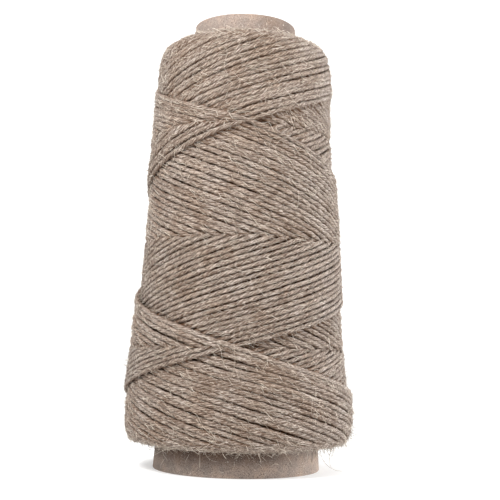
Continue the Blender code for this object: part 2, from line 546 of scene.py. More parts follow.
    def specks(self, material: bpy.types.Material, where: Socket, colour: Socket, speck: str,
               shift_mm: float, band: tuple) -> Socket:
        """Lay one kind of fibre speck over a colour.

        Args:
            material: The material that is being built.
            where: The coordinates that the specks follow.
            colour: The colour below them.
            speck: The specks' hex colour.
            shift_mm: Moves the pattern, so that two kinds don't share their places.
            band: Noise values where a speck starts and is full.

        Returns:
            The colour with the specks on it.
        """
        moved = add_node(
            material, "ShaderNodeMapping", {"in:Location": (shift_mm * MM, shift_mm * MM, 0.0)},
            {"Vector": where})
        noise = add_node(
            material, "ShaderNodeTexNoise", {"in:Scale": 1.0 / (self.speck_mm * MM), "in:Detail": 1.0},
            {"Vector": moved.outputs["Vector"]})
        mask = add_node(
            material, "ShaderNodeMapRange", {"in:From Min": band[0], "in:From Max": band[1]},
            {"Value": noise.outputs["Fac"]})
        laid = add_node(
            material, "ShaderNodeMix", {"data_type": "RGBA", "in:7": linear(speck)},
            {0: mask.outputs["Result"], 6: colour})
        return laid.outputs[2]


@dataclass(frozen=True)
class LitAcrylicFinish:
    """Sand-blasted opal acrylic, lit faintly from below: matt white, with very soft shadows."""

    colour: str = "cfcfce"
    glow: float = 0.42
    roughness: float = 0.9

    def build(self) -> bpy.types.Material:
        """Make the material.

        Returns:
            The material.
        """
        material, shader = new_material("acrylic_opal_sand_blasted")
        shader.inputs["Base Color"].default_value = linear(self.colour)
        shader.inputs["Roughness"].default_value = self.roughness
        shader.inputs["Emission Color"].default_value = (1.0, 1.0, 1.0, 1.0)
        shader.inputs["Emission Strength"].default_value = self.glow
        return material


# ---------------------------------------------------------------------------------------------
# The package's form, read from its solids
# ---------------------------------------------------------------------------------------------


class PackageForm:
    """The side of the package as a surface that is addressed by a distance along its section and an angle.

    The distance runs up the section from the foot's inner edge to the top's. On the straight side it
    equals the height above the floor, and round the two shoulders it goes on at the same rate.
    """

    STEP = 0.25 * MM                # between two places at which the section is tabulated
    BLUR = 1.2 * MM                 # how far the solid's corners are rounded off
    ANCHOR = 20.0 * MM              # the height on the straight side that sets where distances start

    def __init__(self, winding: bpy.types.Object, core: bpy.types.Object) -> None:
        """Read the section from the package's and the cone's solids.

        Args:
            winding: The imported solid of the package.
            core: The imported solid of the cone.
        """
        self.read_cone(object_points(core))
        self.read_section(object_points(winding))
        self.low, self.high = self.along[0], self.along[-1]

    def read_cone(self, points: np.ndarray) -> None:
        """Measure the cone's height, its outer radius at both ends and its wall.

        Args:
            points: The points of the cone's solid.
        """
        radii = np.hypot(points[:, 0], points[:, 1])
        self.cone_height = points[:, 2].max()
        foot = points[:, 2] < 0.05 * self.cone_height
        nose = points[:, 2] > 0.95 * self.cone_height
        self.cone_foot = radii[foot].max()
        self.cone_nose = radii[nose].max()
        self.cone_wall = self.cone_foot - radii[foot].min()

    def read_section(self, points: np.ndarray) -> None:
        """Tabulate the package's outer section, and the direction in which it faces out.

        Args:
            points: The points of the package's solid.
        """
        radii = np.hypot(points[:, 0], points[:, 1])
        outside = radii > self.cone_radius(points[:, 2]) + 0.5 * MM
        heights = np.unique(np.round(points[outside, 2], 6))
        rings = [radii[outside & (np.abs(points[:, 2] - height) < 5e-6)].mean() for height in heights]
        section = np.stack([rings, heights], axis=1)
        steps = np.linalg.norm(np.diff(section, axis=0), axis=1)
        walked = np.concatenate([[0.0], np.cumsum(steps)])
        along = np.arange(walked[0], walked[-1], self.STEP)
        reach = self.BLUR / self.STEP
        self.radius = smooth(np.interp(along, walked, section[:, 0]), reach)
        self.height = smooth(np.interp(along, walked, section[:, 1]), reach)
        self.along = along - np.interp(self.ANCHOR, heights, walked) + self.ANCHOR
        out_radius = np.gradient(self.height, self.along)
        out_height = -np.gradient(self.radius, self.along)
        length = np.hypot(out_radius, out_height)
        self.out_radius = out_radius / length
        self.out_height = out_height / length

    def cone_radius(self, height: np.ndarray) -> np.ndarray:
        """Give the cone's outer radius at a height."""
        return self.cone_foot + (self.cone_nose - self.cone_foot) * height / self.cone_height

    def radius_at(self, along: np.ndarray) -> np.ndarray:
        """Give the package's mean radius at a distance along its section."""
        return np.interp(along, self.along, self.radius)

    def place(self, along: np.ndarray, angle: np.ndarray, out: np.ndarray) -> np.ndarray:
        """Find points in space.

        Args:
            along: Distances along the section.
            angle: Angles round the axis, from -Y towards +X.
            out: How far the points stand off the surface.

        Returns:
            The points, one row each.
        """
        radius = self.radius_at(along) + out * np.interp(along, self.along, self.out_radius)
        height = np.interp(along, self.along, self.height) + out * np.interp(
            along, self.along, self.out_height)
        return np.stack([radius * np.sin(angle), -radius * np.cos(angle), height], axis=-1)

    def outward(self, along: np.ndarray, angle: np.ndarray) -> np.ndarray:
        """Give the surface's outward direction at each place.

        Args:
            along: Distances along the section.
            angle: Angles round the axis.

        Returns:
            The directions, one row each.
        """
        flat = np.interp(along, self.along, self.out_radius)
        tall = np.interp(along, self.along, self.out_height)
        return unit(np.stack([flat * np.sin(angle), -flat * np.cos(angle), tall], axis=-1))


@dataclass
class WindingLaw:
    """How the winder lays the cord: two turns on the way up, two on the way down, and a small step on."""

    foot: float = 7.3 * MM          # the distance along the section where a traverse starts
    length: float = 158.5 * MM      # and how far along the section it reaches
    pairs: int = 40                 # up-and-down pairs until the pattern closes and a layer is full
    turns: float = 2.0              # turns round the cone in one traverse
    newest_crossing: float = 0.75   # where the newest two runs cross in front
    start: float = 0.09             # the angle at which they cross
    skew: float = 0.24              # how far, in radians, the lower crossing lags behind the upper
    rising_cam: tuple = (           # shares of the traverse, and how far in mm the guide is off even pace
        (0.0, 0.0), (0.13, -0.3), (0.20, -1.0), (0.25, -1.7), (0.34, -3.0), (0.50, -2.2), (0.65, -0.6),
        (0.75, 0.5), (0.84, 0.0), (1.0, 0.0))
    falling_cam: tuple = (
        (0.0, 0.0), (0.14, 0.2), (0.20, -1.6), (0.25, -1.8), (0.30, -1.3), (0.35, -2.0), (0.50, -1.0),
        (0.66, 0.3), (0.75, -0.2), (0.79, -1.7), (0.84, -3.0), (0.92, -2.2), (1.0, 0.0))
    layer: float = 1.45 * MM        # the height from one layer to the next
    reversal: float = 0.036         # share of a traverse that the cord's turn at each end takes
    foot_fade: float = 12.0 * MM    # the layers thin out over this much of the section at each end
    top_fade: float = 42.0 * MM
    thinnest: float = 0.25          # the share of a layer's thickness that is left at the very ends
    cam_steps: int = 400            # a traverse's steps in the table of its cam
    cam_round: float = 10.0         # how far, in those steps, the cam's corners are rounded off

    def share(self, travel: np.ndarray) -> np.ndarray:
        """Give the share of the traverse that is reached, a zigzag with round turns.

        Args:
            travel: Traverses since the newest run ended, negative.

        Returns:
            The share of the traverse's length, measured from the foot.
        """
        whole = np.abs((travel + 1.0) % 2.0 - 1.0)
        for limit, sign in ((0.0, 1.0), (1.0, -1.0)):
            gap = (whole - limit) * sign
            near = gap < self.reversal
            eased = 0.5 * self.reversal + 0.5 * gap * gap / self.reversal
            whole = np.where(near, limit + sign * eased, whole)
        return whole

    def angle(self, travel: np.ndarray) -> np.ndarray:
        """Give the angle that the cord has reached.

        Args:
            travel: Traverses since the newest run ended, negative.

        Returns:
            The angle in radians, not wrapped.
        """
        step = TAU / self.pairs
        lean = self.skew * (self.share(travel) - self.newest_crossing)
        return (TAU * self.turns + 0.5 * step) * (travel + self.newest_crossing) + lean + self.start

    def cam(self, falling: bool) -> tuple:
        """Tabulate a traverse: shares of it, and the distances along the section that they reach.

        Args:
            falling: Whether the run goes down.

        Returns:
            The shares and the distances.
        """
        shares = np.linspace(0.0, 1.0, self.cam_steps + 1)
        knots, shifts = np.array(self.falling_cam if falling else self.rising_cam).T
        shift = smooth(np.interp(shares, knots, shifts), self.cam_round)
        return shares, self.foot + self.length * shares + MM * shift

    def reached(self, share: np.ndarray, falling: bool) -> np.ndarray:
        """Give the distance along the section that a share of the traverse reaches."""
        return np.interp(share, *self.cam(falling))

    def share_at(self, along: np.ndarray, falling: bool) -> np.ndarray:
        """Give the share of the traverse that reaches a distance along the section."""
        shares, reached = self.cam(falling)
        return np.interp(along, reached, shares)

    def ages(self, along: np.ndarray, angle: np.ndarray) -> tuple:
        """Say how old the rising and the falling runs at a place are.

        Args:
            along: Distances along the section.
            angle: Angles round the axis.

        Returns:
            Two arrays from 0, on the newest run, to 1.
        """
        rate = TAU * self.turns + 0.5 * TAU / self.pairs
        half = 0.5 / self.pairs
        lead = self.share_at(along, False) - self.newest_crossing
        rising = (rate * (lead - 0.5) + self.skew * lead - angle + self.start) / TAU + half
        lead = self.share_at(along, True) - self.newest_crossing
        falling = (-rate * lead + self.skew * lead - angle + self.start) / TAU + half
        return rising % 1.0 - half, falling % 1.0 - half

    def surface(self, along: np.ndarray, angle: np.ndarray) -> np.ndarray:
        """Give the height of the finished package's layers over its mean surface."""
        rising, falling = self.ages(along, angle)
        return self.level(along, rising + falling)

    def level(self, along: np.ndarray, age: np.ndarray) -> np.ndarray:
        """Give the height over the mean surface of a place whose two runs have this age in all.

        Args:
            along: Distances along the section.
            age: The two runs' ages, added up.

        Returns:
            The heights.
        """
        above, below = along - self.foot, self.foot + self.length - along
        edge = np.minimum(above / self.foot_fade, below / self.top_fade)
        return np.clip(edge, self.thinnest, 1.0) * self.layer * (1.0 - age)


# ---------------------------------------------------------------------------------------------
# Laying the cord
# ---------------------------------------------------------------------------------------------


class HeightMap:
    """The package's surface while it is wound, as heights on a grid of distance and angle."""

    MARGIN = 4.0 * MM               # how far the grid goes on past the section's two ends
    TOUCHED = (5, 8)                # rows and columns that one step of cord can reach on either side
    SLICE = 0.6 * MM                # half the length of cord that one step stands for
    CREST = 5                       # cells on either side that the crests are smoothed over
    CREST_LIFT = 0.25 * MM

    def __init__(self, form: PackageForm, cell: float, columns: int) -> None:
        """Make an empty map.

        Args:
            form: The package's form.
            cell: The grid's step along the section.
            columns: The grid's steps round the axis.
        """
        self.form = form
        self.cell = cell
        self.columns = columns
        self.low = form.low - self.MARGIN
        self.rows = int((form.high + self.MARGIN - self.low) / cell) + 1
        self.rings = self.low + np.arange(self.rows) * cell
        self.spokes = (np.arange(columns) + 0.5) / columns * TAU
        self.heights = np.zeros((self.rows, columns))

    def cell_of(self, along: np.ndarray, angle: np.ndarray) -> tuple:
        """Give the row and column of each place.

        Args:
            along: Distances along the section.
            angle: Angles round the axis.

        Returns:
            The rows and the columns.
        """
        row = np.clip(np.round((along - self.low) / self.cell).astype(int), 0, self.rows - 1)
        column = np.floor(angle / TAU * self.columns).astype(int) % self.columns
        return row, column

    def read(self, along: np.ndarray, angle: np.ndarray) -> np.ndarray:
        """Read the height at each place."""
        return self.heights[self.cell_of(along, angle)]

    def press(self, run: "Run") -> None:
        """Raise the map to the top of a run of cord.

        Args:
            run: The run, laid.
        """
        row, column = self.cell_of(run.along, run.angle)
        up_down, left_right = (np.arange(-reach, reach + 1) for reach in self.TOUCHED)
        rows = row[:, None, None] + up_down[None, :, None]
        columns = column[:, None, None] + left_right[None, None, :]
        rows, columns = np.broadcast_arrays(rows, columns)
        radius = self.form.radius_at(run.along)[:, None, None]
        up = self.low + rows * self.cell - run.along[:, None, None]
        turn = (columns + 0.5) / self.columns * TAU - run.angle[:, None, None]
        side = wrapped(turn) * radius
        lateral = up * run.side_along[:, None, None] + side * run.side_round[:, None, None]
        forward = up * run.side_round[:, None, None] - side * run.side_along[:, None, None]
        share = (lateral / run.half_width[:, None, None]) ** 2
        top = run.centre[:, None, None] + run.half_height[:, None, None] * np.sqrt(
            np.clip(1.0 - share, 0.0, 1.0))
        hit = (share < 1.0) & (np.abs(forward) < self.SLICE) & (rows >= 0) & (rows < self.rows)
        flat = rows[hit] * self.columns + columns[hit] % self.columns
        np.maximum.at(self.heights.reshape(-1), flat, top[hit])

    def crest(self) -> np.ndarray:
        """Smooth the heights over about a cord's width, to tell crests from hollows.

        Returns:
            The heights of the crests, on the same grid.
        """
        reach = self.CREST
        total = np.zeros_like(self.heights)
        for shift in range(-reach, reach + 1):
            total += np.roll(self.heights, shift, axis=1)
        blurred = total / (2 * reach + 1)
        padded = np.pad(blurred, ((reach, reach), (0, 0)), mode="edge")
        stack = [padded[shift:shift + self.rows] for shift in range(2 * reach + 1)]
        return np.mean(stack, axis=0) + self.CREST_LIFT


@dataclass
class Run:
    """A stretch of cord on the package, as arrays with one value for each step along it."""

    RESTS = np.linspace(-0.85, 0.85, 7)             # shares of the half width where it can touch down
    LOOKS = (-0.75, -0.4, 0.0, 0.4, 0.75)           # shares of the half width where it is looked at
    HIDDEN = 0.08 * MM              # how far below the surface a step still counts as showing

    along: np.ndarray
    angle: np.ndarray
    length: np.ndarray
    half_width: np.ndarray
    half_height: np.ndarray
    tone: np.ndarray
    lift: np.ndarray
    age: float = 0.0
    falling: bool = False
    limit: float = 0.5 * MM         # how far what lies below can lift the cord off its layer
    centre: np.ndarray | None = None
    side_along: np.ndarray | None = None
    side_round: np.ndarray | None = None
    shown: np.ndarray | None = None

    def face(self, form: PackageForm) -> None:
        """Work out the direction across the cord, in the surface, at each step.

        Args:
            form: The package's form.
        """
        radius = form.radius_at(self.along)
        ahead = np.gradient(self.along)
        around = np.gradient(self.angle) * radius
        size = np.maximum(np.hypot(ahead, around), 1e-12)
        self.side_along = around / size
        self.side_round = -ahead / size

    def lateral(self, form: PackageForm, share: float) -> tuple:
        """Give the places at a share of the half width to one side of the cord.

        Args:
            form: The package's form.
            share: The share, negative to the other side.

        Returns:
            Distances along the section, and angles.
        """
        shift = share * self.half_width
        return (self.along + shift * self.side_along,
                self.angle + shift * self.side_round / form.radius_at(self.along))

    def settle(self, ground: HeightMap, wanted: np.ndarray, reach: float) -> None:
        """Let the cord down on what is there, as a stiff line that bridges small hollows.

        Args:
            ground: The surface so far. The cord is pressed into it.
            wanted: The height of the cord's centre where the layers would put it.
            reach: How many steps the cord's stiffness spreads over.
        """
        rest = np.full(len(self.along), -1.0)
        for share in self.RESTS:
            height = ground.read(*self.lateral(ground.form, share))
            rest = np.maximum(rest, height + self.half_height * math.sqrt(1.0 - share * share))
        rest = smooth(highest_near(rest, 2), reach)
        aim = smooth(wanted, reach)
        self.centre = aim + self.limit * np.tanh((rest - aim) / self.limit)
        ground.press(self)

    def find_shown(self, ground: HeightMap, spread: int) -> None:
        """Mark the steps where the cord lies on top, and a few more at each side of them.

        Args:
            ground: The finished surface.
            spread: How many steps to add.
        """
        seen = np.zeros(len(self.along), bool)
        for share in self.LOOKS:
            top = self.centre + self.half_height * math.sqrt(1.0 - share * share)
            seen |= top > ground.read(*self.lateral(ground.form, share)) - self.HIDDEN
        self.shown = highest_near(seen.astype(float), spread) > 0.5


@dataclass(frozen=True)
class EndPacking:
    """How the turns of older layers lie on one end of the package."""

    settled: float                  # how far below the mean surface
    spacing: float                  # the mean step from one to the next along the section
    first: float = 0.6 * MM         # from the section's inner end to the first one's tip
    past: float = 0.8 * MM          # how far the last one lies outside the newest runs' turns
    crowding: float = 1.3           # above 1, they lie closest near the cone
    waver_mm: float = 0.4           # how far one strays along the section
    waver: float = 0.12             # and in angle round it
    per_round: float = 20.7         # how many of them one round of the end takes
    reach: tuple = (0.34, 0.46)     # half the angle that one takes
    bow_mm: tuple = (14.0, 22.0)    # how sharply it turns back
    steps: int = 56
    flat: float = 0.45              # the share of it that keeps its height
    sink: float = 2.4 * MM          # and how fast its two ends go down from there
    tone: float = 0.05              # how its tone differs from the next one's
    stiffness: float = 3.0          # steps that the cord bridges


@dataclass
class Winder:
    """Lays the whole visible layer of cord, and keeps the stretches that show."""

    form: PackageForm
    law: WindingLaw
    half_width: float = 0.85 * MM   # of the cord, which lies a little flattened
    half_height: float = 0.79 * MM
    steps: int = 840                # steps along one traverse
    cell: float = 0.3 * MM          # the height map's step along the section
    columns: int = 960              # its steps round the axis
    stray: float = 0.30 * MM        # how far a run strays from its place
    stray_waves: tuple = ((1.0, 0.16), (0.5, 0.05))     # shares of that, and lengths in traverses
    stray_ripple: tuple = ((0.55, 0.011),)
    pairing: float = 0.50 * MM      # how far falling runs near the foot lean on their neighbours
    pairing_share: float = 0.35     # the share of it that is up for every second run, and down for the rest
    pairing_waves: tuple = ((0.9, 0.025),)
    lift: float = 0.09 * MM         # how far a run stands proud of its layer, or sinks in it
    lift_waves: tuple = ((1.0, 18.0 * MM),)
    slubs: tuple = ((0.06, 16.0 * MM), (0.12, 2.6 * MM))    # thick and thin places, and their lengths
    tone: float = 0.012             # how a run's tone differs from the next one's
    tone_waves: tuple = ((0.015, 40.0 * MM),)
    stiffness: float = 4.0          # steps that the cord bridges
    overlap: int = 5                # steps that a stretch goes on for under its neighbours
    rising_upper: tuple = (0.45, 0.20)      # where a run's upper part starts, and how gradually
    falling_upper: tuple = (0.35, 0.15)
    foot: EndPacking = EndPacking(1.10 * MM, 0.155 * MM)
    top: EndPacking = EndPacking(0.25 * MM, 0.055 * MM)
    end_seed: int = 41
    seed: int = 7
    ground: HeightMap = field(init=False)

    def wind(self) -> list:
        """Wind the cord from the oldest run to the newest.

        Returns:
            The runs, oldest first, each with the steps that show marked.
        """
        self.ground = HeightMap(self.form, self.cell, self.columns)
        rings, spokes = np.meshgrid(self.ground.rings, self.ground.spokes, indexing="ij")
        self.ground.heights[:] = self.law.surface(rings, spokes) - 2.0 * self.law.layer
        end_rng = np.random.default_rng(self.end_seed)
        runs = self.end_turns(end_rng, End.FOOT) + self.end_turns(end_rng, End.TOP)
        rng = np.random.default_rng(self.seed)
        walked = 0.0
        for traverse in range(-2 * self.law.pairs, 0):
            run = self.traverse(rng, traverse, walked)
            walked = run.length[-1]
            self.lay_on(run)
            runs.append(run)
        for run in runs:
            run.find_shown(self.ground, self.overlap)
        return runs

    def lay_on(self, run: Run) -> None:
        """Lay one traverse at the height that its age gives it.

        Args:
            run: The run, not yet laid.
        """
        run.face(self.form)
        rising, falling = self.law.ages(run.along, run.angle)
        other = rising if run.falling else falling
        half = 0.5 / self.law.pairs
        covered = other < run.age + (-half if run.falling else half)
        wanted = self.law.level(run.along, run.age + other + covered) - self.half_height + run.lift
        run.settle(self.ground, wanted, self.stiffness)

    def traverse(self, rng: np.random.Generator, number: int, walked: float) -> Run:
        """Work out one traverse's path.

        Args:
            rng: The source of its small faults.
            number: Its number, counted back from the newest, which is -1.
            walked: The cord's length before it.

        Returns:
            The run, not yet laid.
        """
        travel = number + np.arange(self.steps + 1) / self.steps
        share = self.law.share(travel)
        angle = self.law.angle(travel)
        falling = number % 2 != 0
        pair = (number + 2 * self.law.pairs) // 2
        along = self.law.reached(share, falling)
        ease = np.sin(math.pi * np.clip(travel - number, 0.0, 1.0)) ** 0.5
        leaning = self.pairing_share if pair % 2 else -self.pairing_share
        leaning = leaning + waver(rng, travel, self.pairing_waves)
        lean = self.pairing * self.near_foot(share, falling) * leaning
        looseness = self.looseness(share, falling)
        stray = waver(rng, travel, self.stray_waves) + rng.uniform(-0.5, 0.5)
        stray += waver(rng, travel, self.stray_ripple)
        along = along + ease * (self.stray * looseness * stray + lean)
        length = self.walk(along, angle) + walked
        slub = self.slub(rng, length) * self.fullness(share, falling)
        tone = self.tone * rng.uniform(-1.0, 1.0) + waver(rng, length, self.tone_waves)
        lift = self.lift * looseness * (rng.uniform(-1.0, 1.0) + waver(rng, length, self.lift_waves))
        return Run(along, angle, length, self.half_width * slub, self.half_height * slub, tone, lift,
                   age=(self.law.pairs - 1 - pair) / self.law.pairs, falling=falling)

    def upper(self, share: np.ndarray, falling: bool) -> np.ndarray:
        """Say how far a place is in the upper part of a run, where its look changes, from 0 to 1."""
        start, reach = self.falling_upper if falling else self.rising_upper
        return np.clip((share - start) / reach, 0.0, 1.0)

    def near_foot(self, share: np.ndarray, falling: bool) -> np.ndarray:
        """Say how near the foot a falling run is, from 1 in the lowest tenth to 0; rising runs get 0."""
        return np.clip(1.3 - share / 0.3, 0.0, 1.0) if falling else np.zeros(len(share))

    def looseness(self, share: np.ndarray, falling: bool) -> np.ndarray:
        """Say how loosely a run lies: rising runs lie neatest, in the lower half."""
        upper = self.upper(share, falling)
        return 1.0 - 0.3 * upper if falling else 0.45 + upper

    def fullness(self, share: np.ndarray, falling: bool) -> np.ndarray:
        """Say how far the cord's hairs fill it out: least where rising runs lie neatly.

        Args:
            share: Shares of the traverse.
            falling: Whether the run goes down.

        Returns:
            How thick it looks, against the bare cord.
        """
        upper = self.upper(share, falling)
        if falling:
            return 1.05 + 0.06 * self.near_foot(share, falling) + 0.06 * upper
        return 0.96 + 0.11 * upper

    def slub(self, rng: np.random.Generator, length: np.ndarray) -> np.ndarray:
        """Say how thick the cord is along its length; hand-like spinning leaves thick and thin places."""
        return 1.0 + waver(rng, length, self.slubs)

    def walk(self, along: np.ndarray, angle: np.ndarray) -> np.ndarray:
        """Measure the length of cord from a path's start to each of its steps.

        Args:
            along: Distances along the section.
            angle: Angles round the axis.

        Returns:
            The lengths.
        """
        points = self.form.place(along, angle, np.zeros(len(along)))
        steps = np.linalg.norm(np.diff(points, axis=0), axis=1)
        return np.concatenate([[0.0], np.cumsum(steps)])

    def end_turns(self, rng: np.random.Generator, end: End) -> list:
        """Lay the turns of older layers that show on one end of the package.

        Each is the round turn of a run, with its tip towards the cone, and the next one lies a little
        further round and further out.

        Args:
            rng: The source of their small faults.
            end: Which end of the package.

        Returns:
            The runs, not yet tested for what shows.
        """
        tip = self.law.reversal * self.law.length * 0.5
        if end is End.FOOT:
            packing, sign, inner, outer = self.foot, 1.0, self.form.low, self.law.foot + tip
        else:
            packing, sign, inner = self.top, -1.0, self.form.high
            outer = self.law.foot + self.law.length - tip
        span = abs(outer - inner)
        count = int(span / packing.spacing)
        runs = []
        for number in range(count):
            share = (number / count) ** packing.crowding
            depth = packing.first + (span + packing.past) * share
            depth += rng.uniform(-packing.waver_mm, packing.waver_mm) * MM
            middle = number * TAU / packing.per_round + rng.uniform(-packing.waver, packing.waver)
            reach = rng.uniform(*packing.reach)
            turn = np.linspace(-reach, reach, packing.steps)
            bow = rng.uniform(*packing.bow_mm) * MM * turn * turn
            along = inner + sign * (depth + bow)
            angle = middle + turn
            length = self.walk(along, angle) + rng.uniform(0.0, 9.0)
            slub = self.slub(rng, length)
            tone = np.full(packing.steps, packing.tone * rng.uniform(-1.0, 1.0))
            lift = np.zeros(packing.steps)
            run = Run(along, angle, length, self.half_width * slub, self.half_height * slub, tone, lift)
            run.face(self.form)
            sink = packing.sink * np.clip(np.abs(turn) / reach - packing.flat, 0.0, 1.0) ** 1.5
            wanted = np.full(packing.steps, -packing.settled - self.half_height) - sink
            run.settle(self.ground, wanted, packing.stiffness)
            runs.append(run)
        return runs


# ---------------------------------------------------------------------------------------------
# Meshes of cord and fibre
# ---------------------------------------------------------------------------------------------


@dataclass
class TubeMesh:
    """Collects closed tubes and makes one mesh of them."""

    name: str
    sides: int
    points: list = field(default_factory=list)
    quads: list = field(default_factory=list)
    caps: list = field(default_factory=list)
    values: dict = field(default_factory=dict)      # each attribute's values, tube by tube
    count: int = 0                  # points so far
    triangles: int = 0

    def add(self, rings: np.ndarray, **values: np.ndarray) -> None:
        """Add one tube.

        Args:
            rings: Its points, rings by sides by 3, turning so that its faces look outwards.
            values: Attributes with a value, or a vector, for each point.
        """
        total, sides = rings.shape[:2]
        index = self.count + np.arange(total * sides).reshape(total, sides)
        here, ahead = index[:-1], index[1:]
        quads = np.stack([here, np.roll(here, -1, 1), np.roll(ahead, -1, 1), ahead], axis=-1)
        self.points.append(rings.reshape(-1, 3))
        self.quads.append(quads.reshape(-1, 4))
        self.caps.append(index[0][::-1])
        self.caps.append(index[-1])
        for name, value in values.items():
            self.values.setdefault(name, []).append(value.reshape(total * sides, -1))
        self.count += total * sides
        self.triangles += 2 * sides * (total - 1) + 2 * (sides - 2)

    def build(self, finish: bpy.types.Material) -> bpy.types.Object:
        """Make the object.

        Args:
            finish: Its material.

        Returns:
            The object, smooth shaded, at the origin.
        """
        points = np.concatenate(self.points)
        quads = np.concatenate(self.quads)
        caps = np.concatenate(self.caps)
        corners = np.concatenate([quads.reshape(-1), caps])
        sizes = np.concatenate([np.full(len(quads), 4), np.full(len(caps) // self.sides, self.sides)])
        starts = np.concatenate([[0], np.cumsum(sizes)[:-1]])
        mesh = bpy.data.meshes.new(self.name)
        mesh.vertices.add(len(points))
        mesh.vertices.foreach_set("co", points.reshape(-1))
        mesh.loops.add(len(corners))
        mesh.loops.foreach_set("vertex_index", corners.astype(np.int32))
        mesh.polygons.add(len(sizes))
        mesh.polygons.foreach_set("loop_start", starts.astype(np.int32))
        mesh.polygons.foreach_set("loop_total", sizes.astype(np.int32))
        mesh.polygons.foreach_set("use_smooth", np.ones(len(sizes), bool))
        mesh.update(calc_edges=True)
        self.write_values(mesh)
        places = self.lay_out(len(quads), len(caps) // self.sides)
        mesh.uv_layers.new(name=BAKE_MAP).data.foreach_set("uv", places.reshape(-1).astype(np.float32))
        mesh.materials.append(finish)
        item = bpy.data.objects.new(self.name, mesh)
        bpy.context.scene.collection.objects.link(item)
        return item

    def write_values(self, mesh: bpy.types.Mesh) -> None:
        """Write the points' own values as attributes, which the finishes read.

        Args:
            mesh: The mesh.
        """
        for name, parts in self.values.items():
            value = np.concatenate(parts)
            kind, socket = ("FLOAT_VECTOR", "vector") if value.shape[1] == 3 else ("FLOAT", "value")
            layer = mesh.attributes.new(name, kind, "POINT")
            layer.data.foreach_set(socket, value.reshape(-1).astype(np.float32))

    def lay_out(self, quads: int, caps: int) -> np.ndarray:
        """Lay the faces out flat without overlap: rows of bays, each with the faces of one step or one cap.

        Args:
            quads: How many four-sided faces there are, step after step.
            caps: How many end faces there are.

        Returns:
            A place on the map for each corner of each face.
        """
        steps = quads // self.sides
        rows = math.ceil(math.sqrt((steps + caps) / (self.sides + 1.0)))
        columns = math.ceil((steps + caps) / rows)
        bay = np.arange(steps + caps)
        corner = np.stack([bay % columns / columns, bay // columns / rows], axis=-1)
        size = np.array([1.0 / columns, 1.0 / rows])
        side = np.arange(self.sides)
        across = 0.9 * np.stack([side, side + 1, side + 1, side], axis=-1) / self.sides
        ahead = np.broadcast_to([0.0, 0.0, 1.0, 1.0], across.shape)
        turn = side / self.sides * TAU
        disc = 0.45 + 0.4 * np.stack([np.cos(turn), np.sin(turn)], axis=-1)
        body = corner[:steps, None, None, :] + np.stack([ahead, across], axis=-1) * size
        ends = corner[steps:, None, :] + disc * size
        return np.concatenate([body.reshape(-1, 2), ends.reshape(-1, 2)])


